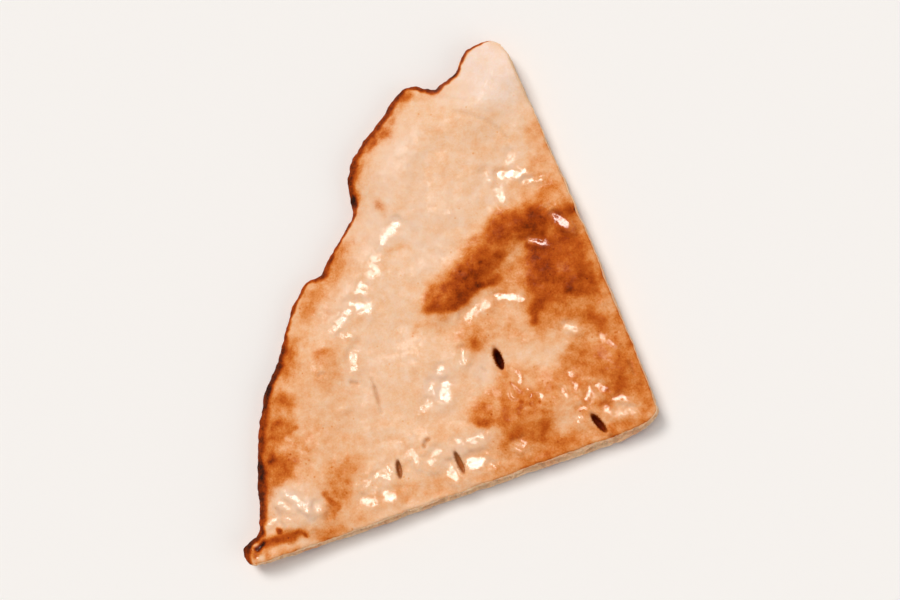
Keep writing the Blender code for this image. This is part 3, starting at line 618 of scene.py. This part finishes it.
def underside_height(x, y, rim_gap):
    """Underside above the surface it rests on: flat in the middle, lifted at its borders."""
    height = RIM_LIFT * fade(0.0, RIM_LIFT_REACH, rim_gap)
    height += CUT_LIFT * fade(0.0, CUT_LIFT_REACH, cut_gap(x, y))
    rim = rim_points(2)
    for corner in (CUT_CORNER, rim[0], rim[-1]):
        gap = np.hypot(x - corner[0], y - corner[1])
        height += CORNER_LIFT * fade(0.0, CORNER_LIFT_REACH, gap) ** 1.5
    return height


def top_height(x, y, rim_gap):
    """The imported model's upper face: rim roll and swell, puffs, the long fold and unevenness."""
    roll = np.sin(np.clip(rim_gap / RIM_ROLL, 0.0, 1.0) * math.pi / 2.0)
    height = between(RIM_EDGE_HEIGHT, CRUMB_HEIGHT, roll)
    swell = np.exp(-((rim_gap - RIM_SWELL_AT) / RIM_SWELL_WIDTH) ** 2)
    height += RIM_SWELL * swell * (1.0 + 0.5 * smooth_noise(x, y, 20.0, 5))
    relief = np.zeros(len(x))
    for *oval, rise in PUFFS:
        relief += rise * np.exp(-1.2 * oval_distance(x, y, *oval) ** 2)
    crest_gap = distance_to_run(x, y, smooth_run(FOLD_CREST))
    relief += FOLD_HEIGHT * np.exp(-(crest_gap / FOLD_WIDTH) ** 2)
    for cell, amount, seed in UNEVENNESS:
        relief += amount * smooth_noise(x, y, cell, seed)
    height += relief * (0.35 + 0.65 * smoothstep(0.0, RIM_ROLL, rim_gap))
    return height - KNIFE_PRESS * fade(0.0, KNIFE_PRESS_REACH, cut_gap(x, y))


def wandering(x, y, seed):
    """The same places pushed about a little, so that marks laid on them get natural edges."""
    return x + ripples(x, y, MARK_WANDER, seed), y + ripples(x, y, MARK_WANDER, seed + 3)


def ovals_laid_on(baked, x, y, ovals, edge):
    """Browning blended to the share of each oval in turn, over a soft edge."""
    for *oval, share in ovals:
        baked = between(baked, share, fade(*edge, oval_distance(x, y, *oval)))
    return baked


def runs_laid_on(baked, x, y, runs, edge):
    """Browning raised to the share of each run in turn, over a soft edge."""
    for *points, half_width, share in runs:
        gap = distance_to_run(x, y, smooth_run(points)) / half_width
        baked = between(baked, np.maximum(share, baked), fade(*edge, gap))
    return baked


def nearness(x, y, mark_x, mark_y, radius):
    """How near each place is to a mark: 1 there, and nearly 0 from twice its radius on."""
    return np.exp(-((x - mark_x) ** 2 + (y - mark_y) ** 2) / radius ** 2)


def top_bake_and_shade(x, y, rim_gap):
    """How far the crust on top has baked, from 0 for pale dough to 1 for char, with painted shade in the
    rim line and by the cuts.
    """
    wander_x, wander_y = wandering(x, y, 60)
    baked = np.full(len(x), DOUGH_SHARE)
    baked = ovals_laid_on(baked, wander_x, wander_y, BROWNED_GROUNDS, GROUND_FADE)
    baked = runs_laid_on(baked, wander_x, wander_y, BROWNED_RUNS, RUN_FADE)
    baked = ovals_laid_on(baked, wander_x, wander_y, BROWNED_PATCHES, MARK_FADE)
    baked = runs_laid_on(baked, wander_x, wander_y, BROWNED_LINES, MARK_FADE)
    blotchy = 0.7 + 0.9 * smoothstep(0.21, 0.40, baked) - 0.3 * smoothstep(0.6, 0.72, baked)
    baked += ripples(x, y, BLOTCHES) * blotchy
    for bit_x, bit_y, radius, share in CHAR_BITS:
        gap = np.hypot(wander_x - bit_x, wander_y - bit_y) / radius
        baked = np.maximum(baked, share * fade(*CHAR_FADE, gap))
    for *oval, _, share in SLITS:
        baked = np.maximum(baked, share * fade(*SLIT_FADE, oval_distance(x, y, *oval)))

    # The dark line along the rim: char, and painted shade on the rolled edge.
    edge = rim_gap + 0.3 * ripple(x, y, 1.6, 73)
    width = between(RIM_LINE_WIDTH, RIM_LINE_WIDTH_LOW, smoothstep(*RIM_LINE_WIDENS, y))
    width = width * (1.0 + 0.3 * ripple(x, y, 5.0, 74))
    share = RIM_LINE_SHARE + 0.06 * ripple(x, y, 3.0, 75)
    for *mark, amount in RIM_DARK:
        near = nearness(x, y, *mark)
        share = share + amount * near
        width = width + 0.5 * near
    glow = RIM_GLOW * (0.7 + 0.5 * ripple(x, y, 6.0, 76)) * smoothstep(*RIM_GLOW_STARTS, y)
    for *mark, amount in RIM_THIN:
        left = 1.0 - amount * nearness(x, y, *mark)
        width = width * left
        glow = glow * left
        share = share * (0.9 + 0.1 * left)
    baked += np.maximum(share - baked, 0.0) * fade(0.4 * width, 1.5 * width, edge)
    baked += np.maximum(glow - baked, 0.0) * fade(0.8, RIM_GLOW_REACH, edge)
    return np.clip(baked, 0.0, 1.0)


def slit_depths(x, y):
    """How deep the slits and the small marks go at each place; the material turns this depth into
    painted shade in them.
    """
    depth = np.zeros(len(x))
    for *oval, slit_depth, _ in SLITS:
        depth = np.maximum(depth, slit_depth * fade(*SLIT_WALL, oval_distance(x, y, *oval)))
    for *points, half_width, mark_depth in CREASES:
        gap = distance_to_run(x, y, smooth_run(points)) / half_width
        depth = np.maximum(depth, mark_depth * fade(*CREASE_FADE, gap))
    return depth


def flour_and_sheen_cover(x, y):
    """How much flour, with painted pale sheen in places, lies on each place of the top, from 0 to 1."""
    wander_x, wander_y = wandering(x, y, 80)
    cover = np.zeros(len(x))
    for *oval, share in FLOUR_AND_SHEEN_PATCHES:
        cover = np.maximum(cover, share * fade(*FLOUR_AND_SHEEN_FADE, oval_distance(wander_x, wander_y, *oval)))
    return cover


def underside_browning(x, y, rim_gap):
    """How far the underside has baked: pale, with the leopard spots of a hot stone."""
    wander_x, wander_y = wandering(x, y, 90)
    large = smoothstep(0.18, 0.62, ripple(wander_x, wander_y, 9.5, 102))
    small = smoothstep(0.30, 0.70, ripple(wander_x, wander_y, 3.6, 103))
    specks = smoothstep(0.45, 0.80, ripple(wander_x, wander_y, 1.5, 104))
    baked = 0.24 + ripples(x, y, UNDERSIDE_TINTS)
    baked += 0.40 * large + 0.24 * small * (0.5 + large) + 0.16 * specks
    return np.clip(baked + 0.16 * fade(0.5, 6.0, rim_gap), 0.0, 0.93)


def bubbles():
    """Places, radii and heights of the skin's small bubbles: some at large, some in clusters."""
    chance = np.random.default_rng(7)
    marks = []
    for _ in range(BUBBLES_AT_LARGE):
        radius = between(*BUBBLE_RADIUS, chance.random() ** 2.2)
        marks.append((chance.uniform(*BUBBLES_ACROSS), chance.uniform(*BUBBLES_ALONG), radius,
                      BUBBLE_STEEPNESS * radius * chance.uniform(0.3, 1.0)))
    for x, y, spread, count in BUBBLE_CLUSTERS:
        for _ in range(count):
            radius = chance.uniform(*CLUSTER_BUBBLE_RADIUS)
            marks.append((x + chance.normal(0.0, 0.6 * spread), y + chance.normal(0.0, 0.6 * spread),
                          radius, BUBBLE_STEEPNESS * radius * chance.uniform(0.9, 1.9)))
    return marks


def bubble_relief(x, y):
    """Height of the small bubbles, each a low dome."""
    height = np.zeros(len(x))
    for mark_x, mark_y, radius, rise in bubbles():
        near = np.flatnonzero((abs(x - mark_x) < radius) & (abs(y - mark_y) < radius))
        gap = np.hypot(x[near] - mark_x, y[near] - mark_y) / radius
        height[near] += rise * np.maximum(1.0 - gap ** 2, 0.0) ** 1.5
    return height


def glaze_strokes(x, y, ground):
    """The wet strokes of butter: how far each place is covered and how wet, and their height.

    Each stroke lies level over the ground below it, as a low ridge with its near side tilted to the
    key light. Its far side runs out slowly.
    """
    wander_x = x + STROKE_WANDER * ripple(x, y, 1.6, 110)
    wander_y = y + STROKE_WANDER * ripple(x, y, 1.6, 111)
    cover = np.zeros(len(x))
    wet = np.zeros(len(x))
    height = np.zeros(len(x))
    slope = math.tan(math.radians(RIDGE_TILT))
    key = direction(KEY_AZIMUTH)
    for *points, half_width, shine in GLINTS:
        run = smooth_run(points)
        centre = run.mean(axis=0)
        reach = 6.0 * half_width + np.ptp(run, axis=0).max()
        near = np.flatnonzero(np.hypot(x - centre[0], y - centre[1]) < reach)
        offset = offset_from_run(wander_x[near], wander_y[near], run)
        gap = np.hypot(*offset) / half_width
        stroke = fade(*STROKE_FADE, gap)
        damp = np.maximum(stroke, DAMP_SHARE * fade(*DAMP_FADE, gap))
        cover[near] = np.maximum(cover[near], stroke)
        wet[near] = np.maximum(wet[near], shine * damp)
        across = key @ offset
        along = key @ np.array([wander_x[near] - centre[0], wander_y[near] - centre[1]]) - across
        ridge = np.minimum(0.5 * half_width - across, 1.6 * half_width + 0.4 * across)
        ridge = slope * np.maximum(ridge, -0.9 * half_width)
        level = ground[near[gap < 1.5]].mean() - ground[near] - slope * np.clip(along, -2.0, 2.0)
        lift = np.clip(ridge + level, -STROKE_AT_MOST, STROKE_AT_MOST)
        away = np.clip(-across / (half_width * np.maximum(gap, 0.1)), 0.0, 1.0)
        height[near] = between(height[near], lift, fade(1.2, 3.2 + 1.8 * away, gap))
    return cover, wet, height


def skin_relief(x, y, baked, strokes, wet, ridges):
    """Fine relief on top: waves of the skin, bubbles, slits, small marks and ridges of butter."""
    calm = 1.0 - smoothstep(0.5, 1.0, strokes) * (0.45 + 0.4 * wet)
    height = (ripples(x, y, SKIN_WAVES) + bubble_relief(x, y)) * calm
    height += smoothstep(0.55, 0.85, baked) * calm * ripples(x, y, CHAR_ROUGHNESS)
    height += ridges + strokes * (1.15 - wet) * ripples(x, y, STROKE_ROUGHNESS)
    height *= 0.4 + 0.6 * smoothstep(0.0, 2.5, cut_gap(x, y))
    for *oval, depth, _ in SLITS:
        lip = (oval_distance(x, y, *oval) - SLIT_LIP_AT) / SLIT_LIP_WIDTH
        height += SLIT_LIP * np.exp(-lip ** 2) * min(depth / 3.0, 1.0)
    return height - slit_depths(x, y)


def underside_relief(x, y):
    """Fine relief underneath, never below the surface it rests on: flats between shallow hollows."""
    wander_x, wander_y = wandering(x, y, 90)
    hollows = 0.30 * smoothstep(-0.1, 0.7, ripple(x, y, 8.0, 120))
    hollows += 0.14 * smoothstep(0.0, 0.8, ripple(wander_x, wander_y, 3.4, 121))
    return hollows + 0.05 * smoothstep(0.0, 0.8, ripple(x, y, 1.6, 122))


def slit_rings():
    """Points round each slit's lip, sides and floor."""
    points = []
    for x, y, half_length, half_width, turn, _, _ in SLITS:
        along = direction(turn)
        across = np.array([-along[1], along[0]])
        for ring in SLIT_RINGS:
            for angle in np.linspace(0.0, 2.0 * math.pi, SLIT_RING_POINTS, endpoint=False):
                u = ring * half_length * math.cos(angle)
                v = ring * half_width * math.sin(angle)
                points.append(np.array([x, y]) + u * along + v * across)
    return np.array(points)


def even_points(loop, spacing):
    """Points in even staggered rows over the box round a loop."""
    low = loop.min(axis=0)
    high = loop.max(axis=0)
    points = []
    for number, y in enumerate(np.arange(low[1], high[1], spacing * math.sqrt(3.0) / 2.0)):
        columns = np.arange(low[0] + (number % 2) * spacing / 2.0, high[0], spacing)
        points.append(np.column_stack([columns, np.full(len(columns), y)]))
    return np.vstack(points)


def sheet(loop, spacing, with_slits):
    """Triangles over a closed loop, with even points inside it and the slits' rings if wanted."""
    points = even_points(loop, spacing)
    if with_slits:
        reach = max(SLIT_RINGS)
        margin = 0.4 * spacing
        for x, y, half_length, half_width, turn, _, _ in SLITS:
            oval = (x, y, reach * half_length + margin, reach * half_width + margin, turn)
            points = points[oval_distance(*points.T, *oval) > 1.0]
        points = np.vstack([slit_rings(), points])
    points = points[inside(*points.T, loop)]
    points = points[distance_to_run(*points.T, np.vstack([loop, loop[:1]])) > 0.55 * spacing]
    points = np.vstack([loop, points])
    border = [list(range(len(loop)))]
    result = delaunay_2d_cdt([Vector(point) for point in points], [], border, 1, 1e-5)
    triangles = [[result[3][corner][0] for corner in face] for face in result[2]]
    return points, triangles


def pores(cut_runs):
    """Flattened pores of the crumb: run along the outline, height share, half sizes and depth."""
    chance = np.random.default_rng(17)
    marks = []
    for start, end in cut_runs:
        for _ in range(PORES_PER_CUT):
            size = chance.random() ** 3.4
            share = 0.5 + (0.36 - 0.20 * size) * chance.uniform(-1.0, 1.0)
            marks.append((chance.uniform(start, end), share, between(*PORE_HALF_LENGTH, size),
                          between(*PORE_HALF_HEIGHT, size) * chance.uniform(0.7, 1.2),
                          between(*PORE_DEPTH, size) * chance.uniform(0.6, 1.1)))
    return marks


def pore_depths(run, share, thickness, cut_runs):
    """How deep the crumb's pores go at each point of a cut face."""
    height = share * thickness
    across = run + ripples(run, height, PORE_SWAY)
    rise = ripples(run, height, PORE_RISE)
    depth = np.zeros(len(run))
    for mark_run, mark_share, half_length, half_height, mark_depth in pores(cut_runs):
        near = np.flatnonzero(abs(across - mark_run) < half_length)
        u = (across[near] - mark_run) / half_length
        v = (height[near] + rise[near] - mark_share * thickness[near]) / half_height
        bowl = mark_depth * np.maximum(1.0 - u ** 2 - v ** 2, 0.0) ** 0.6
        depth[near] = np.maximum(depth[near], bowl)
    return depth


def wall_rows(points, normals, rim_share, lean, top, bottom):
    """Rows of the side between its top and bottom rows: a rolled rim, or an open cut face.

    Each row comes with its share of the way down, its pore depth and its crumb and skin shares.
    """
    inset = between(CUT_INSET, RIM_INSET, rim_share)
    thickness = top - bottom
    slant = np.tan(np.radians(lean)) * thickness
    limit = math.radians(RIM_ROLL_ANGLE)
    run = run_lengths(points)
    cut_share = fade(0.15, 0.7, rim_share)
    on_cut = np.flatnonzero(cut_share > 0.5)
    breaks = np.flatnonzero(np.diff(on_cut) > 1)
    starts = np.concatenate([[on_cut[0]], on_cut[breaks + 1]])
    ends = np.concatenate([on_cut[breaks], [on_cut[-1]]])
    cut_runs = [(run[start], run[end]) for start, end in zip(starts, ends)]

    rows = []
    for t in np.linspace(0.0, 1.0, WALL_ROWS + 2)[1:-1]:
        roll = limit * (1.0 - 2.0 * t)
        rolled_out = (math.cos(roll) - math.cos(limit)) / (1.0 - math.cos(limit))
        rolled_height = 0.5 + 0.5 * math.sin(roll) / math.sin(limit)
        out = between(1.0 - abs(2.0 * t - 1.0) ** 6, rolled_out, rim_share)
        share = between(1.0 - t, rolled_height, rim_share)
        height = bottom + thickness * share
        skin = SKIN_THICKNESS * (1.0 + 0.3 * ripple(run, height, 2.6, 130))
        crumb = cut_share * smoothstep(0.5, 1.2, np.minimum(share, 1.0 - share) * thickness / skin)
        depth = crumb * pore_depths(run, t, thickness, cut_runs)
        ragged = RIM_BULGE + ripples(run, height, RIM_RAGGEDNESS)
        push = cut_share * ripples(run, height, CRUMB_GRAIN) - depth
        push += rim_share * ragged * math.sin(math.pi * t)
        place = points + normals * (inset * (out - 1.0) + slant * t + push)[:, None]
        rows.append((np.column_stack([place, height]), t, depth, crumb, cut_share - crumb))
    return rows


def slice_mesh():
    """The slice as one closed mesh, with its browning and painted shade, glaze, crumb and pores as
    attributes.
    """
    points, normals, rim_share, lean = outline(OUTLINE_SPACING)
    for cell, amount, seed in CUT_WAVES:
        push = amount * ripple(*points.T, cell, seed) * (1.0 - rim_share)
        points = points + normals * push[:, None]
    rim = rim_points()
    count = len(points)
    top_loop = points - normals * between(CUT_INSET, RIM_INSET, rim_share)[:, None]
    top_xy, top_faces = sheet(top_loop, TOP_SPACING, True)
    x, y = top_xy.T
    top_gap = distance_to_run(x, y, rim)
    top_baked = top_bake_and_shade(x, y, top_gap)
    top_z = top_height(x, y, top_gap - RIM_INSET) + underside_height(x, y, top_gap)
    strokes, wet, ridges = glaze_strokes(x, y, top_z)
    top_z += skin_relief(x, y, top_baked, strokes, wet, ridges)

    rough_bottom = underside_height(*top_loop.T, distance_to_run(*top_loop.T, rim))
    slant = np.tan(np.radians(lean)) * (top_z[:count] - rough_bottom)
    bottom_xy, bottom_faces = sheet(top_loop + normals * slant[:, None], UNDERSIDE_SPACING, False)
    bottom_gap = distance_to_run(*bottom_xy.T, rim)
    bottom_z = underside_height(*bottom_xy.T, bottom_gap) + underside_relief(*bottom_xy.T)
    bottom_z -= bottom_z.min()

    rows = wall_rows(points, normals, rim_share, lean, top_z[:count], bottom_z[:count])
    places = [np.column_stack([top_xy, top_z])]
    # The pore attribute holds the depth of slits, creases and pores, which the material paints as shade.
    fields = {"baked": [top_baked], "glaze": [wet], "flour_and_sheen": [flour_and_sheen_cover(x, y)],
              "pore": [slit_depths(x, y)], "crumb": [np.zeros(len(top_xy))]}
    for row, t, depth, crumb, skin in rows:
        x, y = row[:, :2].T
        gap = distance_to_run(x, y, rim)
        side = between(top_bake_and_shade(x, y, gap), underside_browning(x, y, gap), smoothstep(0.42, 0.85, t))
        places.append(row)
        fields["baked"].append(side + SKIN_EDGE_BROWNING * np.clip(skin, 0.0, 1.0))
        fields["glaze"].append(np.zeros(count))
        fields["flour_and_sheen"].append(flour_and_sheen_cover(x, y) * fade(0.2, 0.6, t))
        fields["pore"].append(depth)
        fields["crumb"].append(crumb)
    places.append(np.column_stack([bottom_xy, bottom_z]))
    fields["baked"].append(underside_browning(*bottom_xy.T, bottom_gap))
    for name in ("glaze", "flour_and_sheen", "pore", "crumb"):
        fields[name].append(np.zeros(len(bottom_xy)))

    starts = [0] + [len(top_xy) + number * count for number in range(len(rows) + 1)]
    faces = [tuple(face) for face in top_faces]
    for upper, lower in zip(starts[:-1], starts[1:]):
        for k in range(count):
            following = (k + 1) % count
            faces.append((upper + k, lower + k, lower + following, upper + following))
    faces += [tuple(starts[-1] + corner for corner in reversed(face)) for face in bottom_faces]

    mesh = bpy.data.meshes.new("naan_bread")
    mesh.from_pydata((np.vstack(places) * METRES).tolist(), [], faces)
    for name, values in fields.items():
        attribute = mesh.attributes.new(name, "FLOAT", "POINT")
        attribute.data.foreach_set("value", np.concatenate(values).astype(np.float32))
    mesh.shade_smooth()
    return mesh


def linear(colour):
    """Colour written as it looks, 0 to 255, as the linear colour that Blender works in."""
    shares = np.array(colour) / 255.0
    straight = np.where(shares <= 0.04045, shares / 12.92, ((shares + 0.055) / 1.055) ** 2.4)
    return (*straight.tolist(), 1.0)


class Nodes:
    """Short ways to add nodes to one material and join them."""

    def __init__(self, material):
        material.use_nodes = True
        self.tree = material.node_tree
        self.shader = self.tree.nodes["Principled BSDF"]
        self.place = self.tree.nodes.new("ShaderNodeTexCoord").outputs["Object"]

    def put(self, socket, value):
        """Join an output to the socket, or set the socket to a plain value."""
        if isinstance(value, bpy.types.NodeSocket):
            self.tree.links.new(value, socket)
        else:
            socket.default_value = value

    def put_all(self, node, values):
        """Give a node's inputs their values by name."""
        for name, value in values.items():
            self.put(node.inputs[name], value)

    def add(self, kind, **values):
        """New node of a kind, with values for its inputs."""
        node = self.tree.nodes.new("ShaderNode" + kind)
        self.put_all(node, values)
        return node

    def attribute(self, name):
        """Value of one of the mesh's attributes."""
        node = self.add("Attribute")
        node.attribute_name = name
        return node.outputs["Fac"]

    def noise(self, size, detail, roughness=0.5):
        """Noise from 0 to 1 whose features are about size millimetres across."""
        node = self.add("TexNoise", Vector=self.place, Scale=1.0 / (size * METRES),
                        Detail=detail, Roughness=roughness)
        return node.outputs["Fac"]

    def cells(self, size):
        """Distance to the nearest centre of cells about size millimetres across."""
        node = self.add("TexVoronoi", Vector=self.place, Scale=1.0 / (size * METRES))
        return node.outputs["Distance"]

    def sum(self, *values):
        """Sum of values."""
        return self.chain("ADD", values)

    def product(self, *values):
        """Product of values."""
        return self.chain("MULTIPLY", values)

    def chain(self, operation, values):
        """One value after the other taken into the same operation."""
        total = values[0]
        for value in values[1:]:
            node = self.add("Math")
            node.operation = operation
            self.put(node.inputs[0], total)
            self.put(node.inputs[1], value)
            total = node.outputs[0]
        return total

    def ranged(self, value, low, high, to_low=0.0, to_high=1.0):
        """Value moved from one range to another and held inside it."""
        node = self.add("MapRange")
        for socket, given in zip(node.inputs, (value, low, high, to_low, to_high)):
            self.put(socket, given)
        return node.outputs["Result"]

    def ramp(self, value, stops):
        """Colours that follow a value, each at its own share."""
        node = self.add("ValToRGB", Fac=value)
        elements = node.color_ramp.elements
        while len(elements) < len(stops):
            elements.new(0.5)
        for element, (share, colour) in zip(elements, stops):
            element.position = share
            element.color = linear(colour)
        return node.outputs["Color"]

    def mix(self, share, first, second, blend="MIX"):
        """Colour between two colours."""
        node = self.add("Mix")
        node.data_type = "RGBA"
        node.blend_type = blend
        self.put(node.inputs["Factor"], share)
        self.put(node.inputs[6], first)
        self.put(node.inputs[7], second)
        return node.outputs[2]

    def bump(self, height, distance, strength, **below):
        """Fine relief, over the Normal below it: height 0 to 1 stands for distance millimetres."""
        node = self.add("Bump", Height=height, Distance=distance * METRES, Strength=strength, **below)
        return node.outputs["Normal"]


def crust_colour(nodes, baked):
    """Colour of the crust: the bake colours, mottled more where it is browned, flour with painted pale
    sheen in places, and painted shade in the slits and creases.
    """
    unevenness = nodes.product(nodes.ranged(baked, 0.15, 0.42, 0.12, 0.25),
                               nodes.ranged(baked, 0.55, 0.75, 1.0, 0.75))
    mottle = nodes.ranged(nodes.noise(1.9, 5.0, 0.62), 0.25, 0.75, -0.5, 0.5)
    grain = nodes.ranged(nodes.noise(0.45, 2.0), 0.25, 0.75, -0.5, 0.5)
    mottled = nodes.sum(baked, nodes.product(mottle, unevenness), nodes.product(grain, unevenness, 0.5))
    pricks = nodes.ranged(nodes.cells(2.1), 0.07, 0.16, 1.0, 0.0)
    sparse = nodes.ranged(nodes.noise(5.0, 1.0), 0.52, 0.62, 0.0, 0.16)
    share = nodes.sum(mottled, nodes.product(pricks, sparse))
    # Flour, with painted pale sheen round the butter in places.
    flour_and_sheen_share = nodes.ranged(nodes.noise(2.6, 5.0, 0.65), 0.32, 0.62, 0.35, 1.0)
    flour_and_sheen_share = nodes.product(nodes.attribute("flour_and_sheen"), flour_and_sheen_share, nodes.ranged(share, 0.35, 0.6, 1.0, 0.10))
    crust = nodes.mix(flour_and_sheen_share, nodes.ramp(share, BAKE_COLOURS), linear(FLOUR_AND_SHEEN_COLOUR))
    # Painted shade in the slits and creases, darker where they go deeper.
    painted_slit_shade = nodes.ranged(nodes.attribute("pore"), 0.1, 1.5)
    return nodes.mix(painted_slit_shade, crust, linear(SLIT_SHADE), "MULTIPLY")


def crumb_colour(nodes, baked):
    """Colour of the open crumb: pale webs, pores darkened by depth as painted shade, toasted next to
    browned crust.
    """
    # Painted shade in the pores, darker where they go deeper.
    pore_shade = nodes.ranged(nodes.attribute("pore"), 0.15, 1.8)
    inner = nodes.mix(pore_shade, linear(CRUMB_COLOUR), linear(SHADED_PORE_COLOUR))
    webs = nodes.ranged(nodes.noise(1.6, 4.0), 0.35, 0.65, 0.0, 0.4)
    inner = nodes.mix(webs, inner, linear(WEB_COLOUR))
    toasted = nodes.product(nodes.ranged(baked, 0.30, 0.70, 0.0, 0.50),
                            nodes.ranged(nodes.noise(3.0, 4.0), 0.35, 0.65, 0.5, 1.0))
    return nodes.mix(toasted, inner, linear(TOASTED_CRUMB_COLOUR))


def bread_material():
    """Baked crust and open crumb: colour follows the browning and the painted shade, gloss follows the
    butter.
    """
    material = bpy.data.materials.new("baked_bread")
    nodes = Nodes(material)
    baked = nodes.attribute("baked")
    crumb = nodes.attribute("crumb")
    crust = crust_colour(nodes, baked)
    colour = nodes.mix(nodes.ranged(crumb, 0.25, 0.6), crust, crumb_colour(nodes, baked))

    oiled = nodes.ranged(nodes.noise(6.0, 3.0), 0.35, 0.65, 0.0, GLAZE_AT_MOST)
    oiled = nodes.product(oiled, nodes.ranged(baked, 0.4, 0.7, 1.0, 0.12))
    uneven = nodes.ranged(nodes.noise(1.2, 3.0, 0.6), 0.34, 0.60, 0.6, 1.4)
    wet = nodes.chain("MINIMUM", (nodes.product(nodes.attribute("glaze"), uneven), 1.0))
    dry = nodes.ranged(crumb, 0.0, 1.0, 1.0, 0.0)
    coat = nodes.product(nodes.chain("MAXIMUM", (oiled, wet)), dry)

    foam = nodes.sum(nodes.cells(1.3), nodes.product(nodes.cells(0.6), 0.5))
    skin = nodes.bump(nodes.noise(1.0, 5.0, 0.6), 0.22, 0.55)
    torn = nodes.bump(nodes.product(foam, crumb), 0.5, 0.8, Normal=skin)
    fine = nodes.bump(nodes.noise(0.35, 3.0, 0.6), 0.07, 0.6, Normal=torn)
    nodes.put_all(nodes.shader, {
        "Base Color": colour, "Coat Weight": coat,
        "Roughness": nodes.ranged(coat, 0.0, 1.0, 0.66, 0.36), "Normal": fine, **BREAD_SHADER})
    return material


def floor_material():
    """Plain pale studio floor, matt."""
    material = bpy.data.materials.new("studio_floor")
    nodes = Nodes(material)
    nodes.put_all(nodes.shader, {"Base Color": linear(FLOOR_COLOUR), **FLOOR_SHADER})
    return material


def add_bread():
    """The slice itself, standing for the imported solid."""
    piece = bpy.data.objects.new("naan_bread", slice_mesh())
    bpy.context.scene.collection.objects.link(piece)
    piece.data.materials.append(bread_material())
    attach(piece, "root")
    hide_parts("naan_slice")


def add_floor():
    """Large plain floor under the slice."""
    mesh = bpy.data.meshes.new("studio_floor")
    corners = [(x * FLOOR_HALF_SIZE, y * FLOOR_HALF_SIZE, 0.0)
               for x, y in ((-1, -1), (1, -1), (1, 1), (-1, 1))]
    mesh.from_pydata(corners, [], [(0, 1, 2, 3)])
    mesh.materials.append(floor_material())
    floor = bpy.data.objects.new("studio_floor", mesh)
    bpy.context.scene.collection.objects.link(floor)
    floor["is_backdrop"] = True


def add_light(name, azimuth, elevation, spread, strength, colour):
    """Distant soft light that shines from an azimuth and elevation."""
    light = bpy.data.lights.new(name, "SUN")
    light.angle = math.radians(spread)
    light.energy = strength
    light.color = linear(colour)[:3]
    lamp = bpy.data.objects.new(name, light)
    flat = direction(azimuth) * math.cos(math.radians(elevation))
    away = Vector((*flat, math.sin(math.radians(elevation))))
    lamp.location = away
    lamp.rotation_euler = away.to_track_quat("Z", "Y").to_euler()
    bpy.context.scene.collection.objects.link(lamp)


def add_lights():
    """The soft lights and an even pale surround."""
    for light in LIGHTS:
        add_light(*light)
    world = bpy.data.worlds.new("studio")
    world.use_nodes = True
    background = world.node_tree.nodes["Background"]
    background.inputs["Color"].default_value = linear(WORLD_COLOUR)
    background.inputs["Strength"].default_value = WORLD_STRENGTH
    bpy.context.scene.world = world


def add_camera():
    """Camera almost straight above, tipped a little so that both cut faces just show."""
    low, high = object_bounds()
    centre = (low + high) / 2.0
    tilt = math.radians(CAMERA_TILT)
    back = Vector((*(direction(CAMERA_AZIMUTH) * math.sin(tilt)), math.cos(tilt)))
    across = Vector((0.0, 1.0, 0.0)).cross(back).normalized()
    up = back.cross(across)
    camera = bpy.data.cameras.new("camera")
    camera.lens = CAMERA_LENS
    half_height = camera.sensor_width / 2.0 / FRAME_ASPECT / CAMERA_LENS
    distance = (high.y - low.y) / CAMERA_FILL / 2.0 / half_height
    viewer = bpy.data.objects.new("camera", camera)
    viewer.matrix_world = Matrix((across, up, back)).transposed().to_4x4()
    viewer.location = centre + back * distance
    bpy.context.scene.collection.objects.link(viewer)
    bpy.context.scene.camera = viewer


add_bread()
add_floor()
add_lights()
add_camera()
bpy.context.scene.view_settings.view_transform = "Standard"
